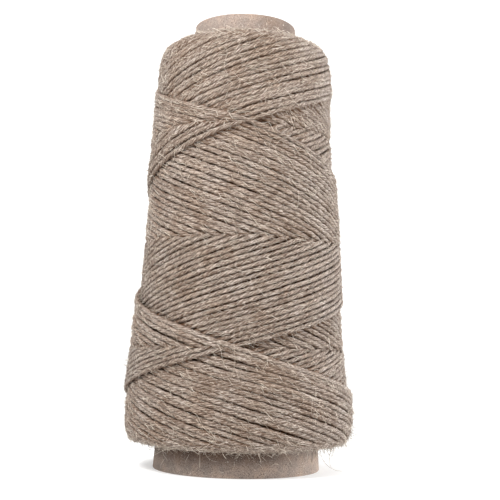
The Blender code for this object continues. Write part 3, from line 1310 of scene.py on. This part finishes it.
@dataclass
class CordBuilder:
    """Makes the runs that show as closed tubes with an oval, uneven section."""

    form: PackageForm
    ground: HeightMap
    sides: int = 8
    every: int = 2                  # steps of the path from one ring to the next
    roughness: float = 0.08         # how uneven a section is, as a share of its size
    plies: int = 3
    ply_depth: float = 0.14         # how deep the grooves between them are, as a share of its size
    twist: float = 13.0 * MM        # the length of cord in which a fibre goes once round
    blunt: float = 0.35             # the size of a stretch's two end rings, against the others
    deep: float = 1.5 * MM          # how far below the crests a point is wholly sheltered, where the finish paints full shade
    fewest: int = 4                 # the rings of the shortest stretch that is made
    most_triangles: int = 190_000   # in one piece
    seed: int = 5
    crest: np.ndarray = field(init=False)
    rng: np.random.Generator = field(init=False)

    def stretches(self, run: Run) -> list:
        """List the stretches of a run that show, as arrays of step numbers.

        Args:
            run: The run.

        Returns:
            An array of step numbers for each stretch.
        """
        edges = np.flatnonzero(np.diff(np.concatenate([[0], run.shown.astype(int), [0]])))
        found = []
        for start, stop in zip(edges[::2], edges[1::2]):
            picked = np.arange(start, stop, self.every)
            if len(picked) >= self.fewest:
                found.append(picked)
        return found

    def rings(self, run: Run, picked: np.ndarray) -> tuple:
        """Make the rings of one stretch.

        Args:
            run: The run of cord.
            picked: The steps that get a ring.

        Returns:
            The rings' points, and the yarn, tone and shelter attributes.
        """
        centre = self.form.place(run.along, run.angle, run.centre)[picked]
        out = self.form.outward(run.along, run.angle)[picked]
        ahead = unit(np.gradient(centre, axis=0))
        side = unit(np.cross(ahead, out))
        out = np.cross(side, ahead)
        turn = np.arange(self.sides) / self.sides * TAU
        length = run.length[picked][:, None]
        lay = turn[None, :] - length / self.twist * TAU
        swell = 1.0 + self.roughness * self.rng.uniform(-1.0, 1.0, lay.shape)
        swell += self.ply_depth * np.cos(self.plies * lay)
        wide = run.half_width[picked][:, None] * np.cos(turn)[None, :] * swell
        tall = run.half_height[picked][:, None] * np.sin(turn)[None, :] * swell
        rings = centre[:, None, :] + wide[..., None] * side[:, None, :] + tall[..., None] * out[:, None, :]
        self.close_ends(rings, centre)
        yarn = np.stack([np.cos(lay), np.sin(lay), np.broadcast_to(length / MM, lay.shape)], axis=-1)
        tone = np.broadcast_to(run.tone[picked][:, None], lay.shape)
        shelter = self.shelter(run, picked, wide, tall)
        return rings, yarn, tone, shelter

    def close_ends(self, rings: np.ndarray, centre: np.ndarray) -> None:
        """Draw a stretch's two end rings in, so that it ends in a blunt tip under its neighbours."""
        for ring in (0, -1):
            rings[ring] = centre[ring] + self.blunt * (rings[ring] - centre[ring])

    def shelter(self, run: Run, picked: np.ndarray, wide: np.ndarray, tall: np.ndarray) -> np.ndarray:
        """Say how deep each point lies between its neighbours, from 0 to 1; the cord's finish paints shade by
        it.

        Args:
            run: The run.
            picked: The steps that get a ring.
            wide: How far each point stands off the run's middle sideways.
            tall: And how far outwards.

        Returns:
            The shelter of each point.
        """
        shift = wide / self.form.radius_at(run.along[picked])[:, None]
        along = run.along[picked][:, None] + wide * run.side_along[picked][:, None]
        angle = run.angle[picked][:, None] + shift * run.side_round[picked][:, None]
        crest = self.crest[self.ground.cell_of(along, angle)]
        depth = crest - (run.centre[picked][:, None] + tall)
        return np.clip(depth / self.deep, 0.0, 1.0)

    def build(self, runs: list, finish: bpy.types.Material) -> list:
        """Build the pieces of cord, oldest runs first.

        Args:
            runs: The laid runs.
            finish: The cord's material.

        Returns:
            The objects.
        """
        self.crest = self.ground.crest()
        self.rng = np.random.default_rng(self.seed)
        pieces = []
        tubes = TubeMesh("cord_runs_1", self.sides)
        for run in runs:
            for picked in self.stretches(run):
                rings, yarn, tone, shelter = self.rings(run, picked)
                if tubes.triangles + 2 * self.sides * len(picked) > self.most_triangles:
                    pieces.append(tubes.build(finish))
                    tubes = TubeMesh(f"cord_runs_{len(pieces) + 1}", self.sides)
                tubes.add(rings, yarn=yarn, tone=tone, shelter=shelter)
        pieces.append(tubes.build(finish))
        return pieces


@dataclass(frozen=True)
class FibreGroup:
    """Fibres that start in one zone of the package or of the bare board."""

    count: int
    low: float                      # the zone's ends, along the section or up the board
    high: float
    longest: float
    left: float = 0.0               # and the angles it lies between
    right: float = TAU


@dataclass
class FibreBuilder:
    """Makes the stray fibres that stand off the cord, lie over it and cling to the board.

    A real flax fibre is about 0.02 mm thick. These are bundles, and are drawn thick enough to show.
    """

    form: PackageForm
    ground: HeightMap
    finish: bpy.types.Material
    finest_mm: float = 0.035        # the thinnest fibre's radius
    hair_lean: tuple = (0.45, 0.30)                 # mean and spread of a hair's angle to its cord
    hair_shortest_mm: float = 1.1
    hair_stand: float = 0.5         # the share of its length that the boldest hair stands off by
    stray_steps: int = 9
    stray_heading: float = 0.33     # the angle of the runs, which most of the longer fibres follow
    stray_lift: float = 0.16        # the share of its length by which a fibre's free end lifts
    loose_steps: int = 7
    droop: float = 0.35             # how far loose fibres hang, against how far they stand out
    stuck_steps: int = 6

    def tubes(self, name: str, paths: np.ndarray, thickness: np.ndarray, tone: np.ndarray
              ) -> bpy.types.Object:
        """Make fine three-sided tubes along many paths at once.

        Args:
            name: The object's name.
            paths: Fibres by points by 3.
            thickness: Each fibre's radius.
            tone: Each fibre's shade, from 0 to 1.

        Returns:
            The object.
        """
        count, steps = paths.shape[:2]
        ahead = unit(np.gradient(paths, axis=1))
        helper = np.where(np.abs(ahead[..., 2:3]) < 0.8, [0.0, 0.0, 1.0], [1.0, 0.0, 0.0])
        side = unit(np.cross(ahead, helper))
        other = np.cross(side, ahead)
        taper = np.sin(np.linspace(0.3, 0.9, steps) * math.pi) ** 0.5
        size = thickness[:, None] * taper[None, :]
        turn = np.arange(3) / 3.0 * TAU
        ring = (np.cos(turn)[None, None, :, None] * side[:, :, None, :]
                + np.sin(turn)[None, None, :, None] * other[:, :, None, :])
        rings = paths[:, :, None, :] + size[:, :, None, None] * ring
        mesh = TubeMesh(name, 3)
        for fibre in range(count):
            mesh.add(rings[fibre], tone=np.full((steps, 3), tone[fibre]))
        return mesh.build(self.finish)

    def hairs(self, name: str, runs: list, count: int, seed: int) -> bpy.types.Object:
        """Make the short hairs of the cord: fibre ends that leave its twist and stand off it.

        Args:
            name: The object's name.
            runs: The laid runs, with what shows marked.
            count: How many hairs.
            seed: Starts their places.

        Returns:
            The object.
        """
        rng = np.random.default_rng(seed)
        shown = np.flatnonzero(np.concatenate([run.shown for run in runs]))
        picked = rng.choice(shown, count)
        kinds = ("along", "angle", "centre", "half_width", "half_height", "side_along", "side_round")
        along, angle, centre, wide, tall, side_along, side_round = (
            np.concatenate([getattr(run, kind) for run in runs])[picked] for kind in kinds)
        # Where round the cord's upper half it leaves the twist, how it leans, and which way it points.
        begin = rng.uniform(0.06, 0.94, count) * math.pi
        lean = rng.normal(*self.hair_lean, count)
        sense = np.where(np.cos(begin) + rng.normal(0.0, 0.4, count) > 0.0, 1.0, -1.0)
        reach = (self.hair_shortest_mm + rng.gamma(2.0, 0.62, count)) * MM
        rise = reach * (np.sin(lean) * np.abs(np.cos(begin)) * 0.6
                        + self.hair_stand * rng.random(count) ** 3)
        part = np.array([0.0, 1.0])[None, :]        # its root and its tip
        forward = (sense * reach * np.cos(lean))[:, None] * part
        sideways = (sense * reach * np.sin(lean) * np.sin(begin))[:, None] * part
        lateral = (wide * np.cos(begin))[:, None] - sideways
        row = along[:, None] - forward * side_round[:, None] + lateral * side_along[:, None]
        radius = self.form.radius_at(along)[:, None]
        turn = angle[:, None] + (forward * side_along[:, None] + lateral * side_round[:, None]) / radius
        out = (centre + tall * np.sin(begin))[:, None] + rise[:, None] * part ** 1.5
        clear = self.ground.read(row, turn) + rng.uniform(0.02, 0.14, (count, 1)) * MM
        out[:, 1:] = np.maximum(out, clear)[:, 1:]
        thickness = (self.finest_mm + 0.08 * rng.random(count) ** 1.5) * MM
        return self.tubes(name, self.form.place(row, turn, out), thickness, rng.uniform(0.1, 1.0, count))

    def strays(self, name: str, count: int, seed: int) -> bpy.types.Object:
        """Make the longer pale fibres that lie over the runs and lift off here and there.

        Args:
            name: The object's name.
            count: How many fibres.
            seed: Starts their places.

        Returns:
            The object.
        """
        rng = np.random.default_rng(seed)
        along = rng.uniform(self.form.low + 2.0 * MM, self.form.high - 2.0 * MM, count)
        angle = rng.uniform(0.0, TAU, count)
        reach = rng.gamma(2.6, 1.9, count).clip(2.0, 18.0) * MM
        follows = rng.random(count) < 0.6
        with_runs = rng.choice([self.stray_heading, -self.stray_heading], count)
        with_runs = with_runs + rng.normal(0.0, 0.4, count)
        heading = np.where(follows, with_runs, rng.uniform(0.0, TAU, count))
        # It bends one way on the whole, and waves about that.
        part = np.linspace(0.0, 1.0, self.stray_steps)[None, :]
        course = heading[:, None] + rng.normal(0.0, 1.2, (count, 1)) * part + 0.6 * np.sin(
            part * rng.uniform(2.0, 8.0, (count, 1)) + rng.uniform(0.0, TAU, (count, 1)))
        step = reach[:, None] / (self.stray_steps - 1)
        radius = self.form.radius_at(along)[:, None]
        row = along[:, None] + np.cumsum(step * np.sin(course), axis=1)
        turn = angle[:, None] + np.cumsum(step * np.cos(course), axis=1) / radius
        lift = 0.08 * MM + rng.gamma(1.2, 0.30, (count, 1)) * MM * part ** 1.5
        free = rng.random((count, 1)) < 0.3
        lift = lift + np.where(free, self.stray_lift * reach[:, None] * part ** 3, 0.0)
        surface = self.ground.read(row, turn)
        level = 0.6 * surface + 0.4 * surface.max(axis=1, keepdims=True)
        paths = self.form.place(row, turn, level + lift)
        thickness = (self.finest_mm + 0.05 * rng.random(count) ** 3) * MM
        return self.tubes(name, paths, thickness, rng.uniform(0.35, 0.95, count))

    def loose(self, name: str, groups: list, seed: int) -> bpy.types.Object:
        """Make the curly fibres that hang off the package's edges.

        Args:
            name: The object's name.
            groups: The groups of fibres, by distances along the section.
            seed: Starts their shapes.

        Returns:
            The object.
        """
        rng = np.random.default_rng(seed)
        strides = self.loose_steps - 1
        paths = []
        for group in groups:
            along = rng.uniform(group.low, group.high, group.count)
            angle = rng.uniform(group.left, group.right, group.count)
            reach = group.longest * rng.uniform(0.25, 1.0, group.count)
            start = self.form.place(along, angle, self.ground.read(along, angle) - 0.2 * MM)
            outward = self.form.outward(along, angle)
            spin = unit(rng.normal(0.0, 1.0, (group.count, 3)))
            wild = rng.normal(0.0, 0.8, (group.count, 3))
            heading = unit(0.75 * outward + wild + [0.0, 0.0, -self.droop])
            rate = rng.gamma(1.6, 0.18, (group.count, 1)) * rng.choice([-1.0, 1.0], (group.count, 1))
            points = [start]
            for _ in range(strides):
                points.append(points[-1] + heading * (reach / strides)[:, None])
                heading = unit(heading + rate * np.cross(spin, heading))
            paths.append(np.stack(points, axis=1))
        lines = np.concatenate(paths)
        lines[..., 2] = np.clip(lines[..., 2], 0.3 * MM, self.form.cone_height - 0.3 * MM)
        hole = self.form.cone_radius(lines[..., 2]) + 0.2 * MM
        radius = np.hypot(lines[..., 0], lines[..., 1])
        lines[..., :2] *= np.maximum(1.0, hole / radius)[..., None]
        thickness = rng.uniform(self.finest_mm, 0.085, len(lines)) * MM
        return self.tubes(name, lines, thickness, rng.uniform(0.0, 0.95, len(lines)))

    def stuck(self, name: str, groups: list, seed: int) -> bpy.types.Object:
        """Make the short fibres that cling to the bare board at the cone's ends.

        Args:
            name: The object's name.
            groups: The groups of fibres, by heights above the floor.
            seed: Starts their shapes.

        Returns:
            The object.
        """
        rng = np.random.default_rng(seed)
        part = np.linspace(0.0, 1.0, self.stuck_steps)[None, :]
        strides = self.stuck_steps - 1
        paths = []
        for group in groups:
            height = rng.uniform(group.low, group.high, (group.count, 1))
            angle = rng.uniform(group.left, group.right, (group.count, 1))
            reach = rng.uniform(0.8 * MM, group.longest, (group.count, 1)) / strides
            heading = rng.uniform(0.0, TAU, (group.count, 1)) + rng.normal(0.0, 1.0, (group.count, 1)) * part
            rise = np.clip(height + np.cumsum(reach * np.sin(heading), axis=1),
                           0.4 * MM, self.form.cone_height - 0.6 * MM)
            radius = self.form.cone_radius(rise) + 0.03 * MM
            turn = angle + np.cumsum(reach * np.cos(heading), axis=1) / radius
            paths.append(np.stack([radius * np.sin(turn), -radius * np.cos(turn), rise], axis=-1))
        lines = np.concatenate(paths)
        tone = np.where(rng.random(len(lines)) < 0.55, rng.uniform(0.0, 0.15, len(lines)),
                        rng.uniform(0.8, 1.0, len(lines)))
        return self.tubes(name, lines, rng.uniform(0.03, 0.075, len(lines)) * MM, tone)


# ---------------------------------------------------------------------------------------------
# The cone and the package's bed
# ---------------------------------------------------------------------------------------------


def deselect_all() -> None:
    """Clear the selection, which starts with the CAD nodes in it."""
    for item in bpy.context.selected_objects:
        item.select_set(False)


def apply_modifiers(item: bpy.types.Object) -> None:
    """Apply all of an object's modifiers in order."""
    for modifier in list(item.modifiers):
        bpy.ops.object.modifier_apply(modifier=modifier.name)


@dataclass
class CardboardCone:
    """The cone that the cord is wound on, rolled from one long sheet of wet paper."""

    form: PackageForm
    sides: int = 96
    bands: int = 16                 # rings of faces up the wall
    rounding: float = 0.45 * MM     # of the rims, which are pressed and worn
    lap: float = 0.35 * MM          # the outer ply's edge stands this far off the roll
    lap_angle: float = 2.4          # where round the axis that edge is
    lap_width: float = 0.06         # the share of a turn over which the lap fades into the roll
    unevenness: float = 0.10 * MM
    waves: tuple = ((3.0, 40.0), (7.0, -90.0))      # its waves round the cone, and up it, by the metre
    inner_share: float = 0.4        # how much of it shows on the inside

    def build(self, finish: bpy.types.Material) -> bpy.types.Object:
        """Model the cone: an open taper, its wall, its eased rims and the lap of its last ply.

        Args:
            finish: The board's material.

        Returns:
            The cone, at the origin.
        """
        deselect_all()
        height = self.form.cone_height
        bpy.ops.mesh.primitive_cone_add(
            vertices=self.sides, radius1=self.form.cone_foot, radius2=self.form.cone_nose, depth=height,
            end_fill_type="NOTHING", location=(0.0, 0.0, height / 2.0))
        cone = bpy.context.active_object
        cone.name = cone.data.name = "cardboard_cone"
        bpy.ops.object.transform_apply(location=True, rotation=True, scale=True)
        self.divide()
        wall = cone.modifiers.new("wall", "SOLIDIFY")
        wall.thickness = self.form.cone_wall
        wall.offset = -1.0
        wall.use_even_offset = True
        easing = cone.modifiers.new("rims", "BEVEL")
        easing.width = self.rounding
        easing.segments = 3
        easing.limit_method = "ANGLE"
        easing.angle_limit = math.radians(50.0)
        apply_modifiers(cone)
        self.roll(cone)
        bpy.ops.object.shade_smooth_by_angle(angle=math.radians(35.0))
        cone.data.materials.append(finish)
        return cone

    def divide(self) -> None:
        """Cut the open taper's upright edges, so that its wall has bands to bend."""
        bpy.ops.object.mode_set(mode="EDIT")
        bpy.ops.mesh.select_mode(type="EDGE")
        bpy.ops.mesh.select_all(action="DESELECT")
        work = bmesh.from_edit_mesh(bpy.context.active_object.data)
        for edge in work.edges:
            low, high = sorted(vert.co.z for vert in edge.verts)
            edge.select = bool(high - low > 0.5 * self.form.cone_height)
        bmesh.update_edit_mesh(bpy.context.active_object.data)
        bpy.ops.mesh.subdivide(number_cuts=self.bands - 1)
        bpy.ops.object.mode_set(mode="OBJECT")

    def roll(self, cone: bpy.types.Object) -> None:
        """Draw the round wall out into a roll with a lap, and make it a little uneven.

        Args:
            cone: The cone.
        """
        points = object_points(cone)
        radius = np.hypot(points[:, 0], points[:, 1])
        angle = np.arctan2(points[:, 0], -points[:, 1])
        turned = (angle - self.lap_angle) / TAU % 1.0
        outer = radius > self.form.cone_radius(points[:, 2]) - 0.5 * self.form.cone_wall
        points[:, 2] = np.clip(points[:, 2], 0.0, self.form.cone_height)
        middle = (points[:, 2] > 2.0 * self.rounding) & (
            points[:, 2] < self.form.cone_height - 2.0 * self.rounding)
        wave = sum(np.sin(around * angle + up * points[:, 2]) for around, up in self.waves)
        shift = 0.5 * self.unevenness * wave - self.unevenness
        lap = self.lap * np.clip(1.0 - turned / self.lap_width, 0.0, 1.0)
        shift += np.where(outer & middle, -lap, 0.0)
        factor = (radius + np.where(outer, shift, self.inner_share * shift)) / radius
        points[:, 0] *= factor
        points[:, 1] *= factor
        set_points(cone, points)


@dataclass
class PackedBed:
    """The older layers under the runs on top: a closed body that stops light between them."""

    form: PackageForm
    winding: bpy.types.Object
    depth: float = 2.7 * MM         # how far in from the package's mean surface
    low: float = 10.2 * MM          # the heights that it stays between
    high: float = 160.6 * MM

    def build(self, finish: bpy.types.Material) -> bpy.types.Object:
        """Make the bed from a merged copy of the package's solid, let in below the top runs.

        Args:
            finish: The bed's material.

        Returns:
            The bed.
        """
        work = bmesh.new()
        work.from_mesh(self.winding.data)
        bmesh.ops.remove_doubles(work, verts=work.verts, dist=0.01 * MM)
        for vert in work.verts:
            self.let_in(vert)
        bmesh.ops.recalc_face_normals(work, faces=work.faces)
        mesh = bpy.data.meshes.new("cord_older_layers")
        work.to_mesh(mesh)
        work.free()
        mesh.shade_smooth()
        mesh.materials.append(finish)
        bed = bpy.data.objects.new("cord_older_layers", mesh)
        bpy.context.scene.collection.objects.link(bed)
        return bed

    def let_in(self, vert: bmesh.types.BMVert) -> None:
        """Move one point of the outer side in from the surface; the hole's points stay.

        Args:
            vert: The point.
        """
        radius = math.hypot(vert.co.x, vert.co.y)
        hole = float(self.form.cone_radius(vert.co.z)) + 0.5 * MM
        vert.co.z = min(max(vert.co.z, self.low), self.high)
        if radius < hole:
            return
        inset = min(self.depth, radius - hole)
        factor = (radius - inset) / radius
        vert.co.x *= factor
        vert.co.y *= factor


# ---------------------------------------------------------------------------------------------
# The studio
# ---------------------------------------------------------------------------------------------


@dataclass(frozen=True)
class Softbox:
    """A square light with its name, its place, its side and its power."""

    name: str
    place: tuple
    size: float
    watts: float

    def hang(self, aim: tuple) -> None:
        """Hang it where it belongs, facing a point.

        Args:
            aim: The point.
        """
        data = bpy.data.lights.new(self.name, "AREA")
        data.shape = "SQUARE"
        data.size = self.size
        data.energy = self.watts
        item = bpy.data.objects.new(self.name, data)
        item.location = self.place
        item.rotation_euler = (Vector(aim) - Vector(self.place)).to_track_quat("-Z", "Y").to_euler()
        bpy.context.scene.collection.objects.link(item)


@dataclass
class Studio:
    """A wide lit table top, two softboxes, a white room and the camera.

    The room's limits are on the direction that one looks in: 1 is straight along X, Y or Z.
    """

    camera_distance: float = 381.6 * MM
    camera_height: float = 47.25 * MM
    camera_side: float = 3.57 * MM
    pitch_degrees: float = 5.32
    roll_degrees: float = 1.17
    view_degrees: float = 28.26
    floor_radius: float = 3.6
    floor_rim: float = 0.05         # the width and the drop of its turned-down rim
    key: Softbox = Softbox("key_softbox", (-0.16, -0.32, 0.38), 0.16, 3.3)      # high in front, to the left
    edge: Softbox = Softbox("edge_softbox", (0.95, 0.18, 0.22), 0.6, 13.0)      # low on the right
    aim: tuple = (0.0, 0.0, 0.09)
    room: float = 0.72              # white light from the camera's side of the room
    sweep: float = 1.50             # and from the sweep behind the spool
    sweep_y: tuple = (-0.35, 0.15)
    flagged: float = 0.25           # what a black flag on the left leaves of it
    flag_x: tuple = (-0.95, -0.20)
    backdrop: float = 1.03          # the white walls, low down all round
    backdrop_z: tuple = (0.24, 0.34)
    card: float = 0.1               # what a black card in front on the left leaves
    card_at: tuple = (-0.64, -0.77, 0.0)
    card_edge: tuple = (0.83, 0.95)

    def build(self) -> None:
        """Build the floor, the lights, the world and the camera."""
        self.floor()
        self.key.hang(self.aim)
        self.edge.hang(self.aim)
        self.world()
        self.camera()

    def floor(self) -> None:
        """Lay a wide round table top whose rim is turned down."""
        deselect_all()
        bpy.ops.mesh.primitive_circle_add(
            vertices=96, radius=self.floor_radius, fill_type="NGON", location=(0.0, 0.0, 0.0))
        top = bpy.context.active_object
        top.name = top.data.name = "studio_floor"
        bpy.ops.object.mode_set(mode="EDIT")
        bpy.ops.mesh.select_all(action="SELECT")
        bpy.ops.mesh.inset(thickness=self.floor_rim)
        bpy.ops.object.mode_set(mode="OBJECT")
        points = object_points(top)
        rim = np.hypot(points[:, 0], points[:, 1]) > self.floor_radius - 0.5 * self.floor_rim
        points[rim, 2] = -self.floor_rim
        set_points(top, points)
        top.data.materials.append(LitAcrylicFinish().build())

    def world(self) -> None:
        """Fill the room with white light, most of it from the sweep behind the spool."""
        world = bpy.data.worlds.new("studio_room")
        world.use_nodes = True
        sky = world.node_tree.nodes["Background"]
        sky.inputs["Color"].default_value = linear("ffffff")
        looking = add_node(world, "ShaderNodeTexCoord", {}, {}).outputs["Generated"]
        parts = add_node(world, "ShaderNodeSeparateXYZ", {}, {"Vector": looking}).outputs
        behind = add_node(
            world, "ShaderNodeMapRange",
            {"in:From Min": self.sweep_y[0], "in:From Max": self.sweep_y[1],
             "in:To Min": self.room, "in:To Max": self.sweep},
            {"Value": parts["Y"]})
        flag = add_node(
            world, "ShaderNodeMapRange",
            {"in:From Min": self.flag_x[0], "in:From Max": self.flag_x[1],
             "in:To Min": self.flagged, "in:To Max": 1.0},
            {"Value": parts["X"]})
        upper = add_node(
            world, "ShaderNodeMath", {"operation": "MULTIPLY"},
            {0: behind.outputs["Result"], 1: flag.outputs["Result"]})
        walls = add_node(
            world, "ShaderNodeMapRange",
            {"in:From Min": self.backdrop_z[0], "in:From Max": self.backdrop_z[1],
             "in:To Min": self.backdrop, "in:To Max": 0.0},
            {"Value": parts["Z"]})
        lit = add_node(
            world, "ShaderNodeMath", {"operation": "MAXIMUM"},
            {0: upper.outputs[0], 1: walls.outputs["Result"]})
        ahead = add_node(
            world, "ShaderNodeVectorMath", {"operation": "DOT_PRODUCT", "in:1": self.card_at}, {0: looking})
        card = add_node(
            world, "ShaderNodeMapRange",
            {"in:From Min": self.card_edge[0], "in:From Max": self.card_edge[1],
             "in:To Min": 1.0, "in:To Max": self.card},
            {"Value": ahead.outputs["Value"]})
        strength = add_node(
            world, "ShaderNodeMath", {"operation": "MULTIPLY"},
            {0: lit.outputs[0], 1: card.outputs["Result"]})
        world.node_tree.links.new(strength.outputs[0], sky.inputs["Strength"])
        bpy.context.scene.world = world
        bpy.context.scene.view_settings.view_transform = "Standard"

    def camera(self) -> None:
        """Stand the camera in front, a little below the middle, tipped up and rolled slightly."""
        data = bpy.data.cameras.new("camera")
        data.sensor_width = 36.0
        data.lens = 0.5 * data.sensor_width / math.tan(math.radians(0.5 * self.view_degrees))
        item = bpy.data.objects.new("camera", data)
        turn = Matrix.Rotation(math.radians(90.0 + self.pitch_degrees), 4, "X")
        roll = Matrix.Rotation(math.radians(self.roll_degrees), 4, "Z")
        place = Matrix.Translation((self.camera_side, -self.camera_distance, self.camera_height))
        item.matrix_world = place @ turn @ roll
        bpy.context.scene.collection.objects.link(item)
        bpy.context.scene.camera = item


# ---------------------------------------------------------------------------------------------
# The whole spool
# ---------------------------------------------------------------------------------------------


def report(piece: bpy.types.Object, nodes: tuple = ()) -> None:
    """Put a finished piece on its body and say what it is.

    Args:
        piece: The piece.
        nodes: The CAD nodes that it stands for.
    """
    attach(piece, BODY)
    if nodes:
        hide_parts(*nodes)
    triangles = sum(len(face.vertices) - 2 for face in piece.data.polygons)
    LOG.info("%s: %d triangles", piece.name, triangles)


def loose_groups(form: PackageForm) -> list:
    """List the loose fibres: thickest at the foot's edge, most of all on its right, and a few long ones.

    Args:
        form: The package's form.

    Returns:
        The groups.
    """
    low, high = form.low, form.high
    return [
        FibreGroup(170, low + 1.0 * MM, low + 9.0 * MM, 5.0 * MM),
        FibreGroup(110, low + 0.5 * MM, low + 16.0 * MM, 7.0 * MM, 0.9, 1.8),
        FibreGroup(60, low + 0.5 * MM, low + 10.0 * MM, 5.0 * MM, -1.7, -1.0),
        FibreGroup(34, low + 0.5 * MM, low + 6.0 * MM, 8.0 * MM, -0.9, 0.9),
        FibreGroup(16, low + 0.5 * MM, low + 8.0 * MM, 14.0 * MM, 1.0, 1.7),
        FibreGroup(120, high - 9.0 * MM, high - 0.5 * MM, 4.0 * MM),
        FibreGroup(1500, low + 8.0 * MM, high - 7.0 * MM, 3.2 * MM),
    ]


def main() -> None:
    """Build the spool and the studio."""
    logging.basicConfig(level=logging.INFO, format="%(message)s")
    form = PackageForm(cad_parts["winding"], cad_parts["core"])
    law = WindingLaw()

    cone = CardboardCone(form).build(RecycledBoardFinish().build())
    report(cone, ("core",))

    bed = PackedBed(form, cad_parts["winding"]).build(PackedBedFinish().build())
    report(bed)

    winder = Winder(form, law)
    runs = winder.wind()
    pieces = CordBuilder(form, winder.ground).build(runs, LinenCordFinish().build())
    for piece in pieces:
        report(piece, ("winding",))

    fibres = FibreBuilder(form, winder.ground, StrayFlaxFinish().build())
    for number in (1, 2):
        report(fibres.hairs(f"fibre_hairs_{number}", runs, 17_500, 10 + number))
    report(fibres.strays("fibre_strays", 1_000, 20))
    report(fibres.loose("fibre_loose_ends", loose_groups(form), 21))
    board = [
        FibreGroup(70, 0.6 * MM, 9.0 * MM, 4.2 * MM),
        FibreGroup(60, 161.0 * MM, form.cone_height, 4.2 * MM),
    ]
    report(fibres.stuck("fibre_on_board", board, 22))

    Studio().build()


if __name__ == "__main__":
    main()
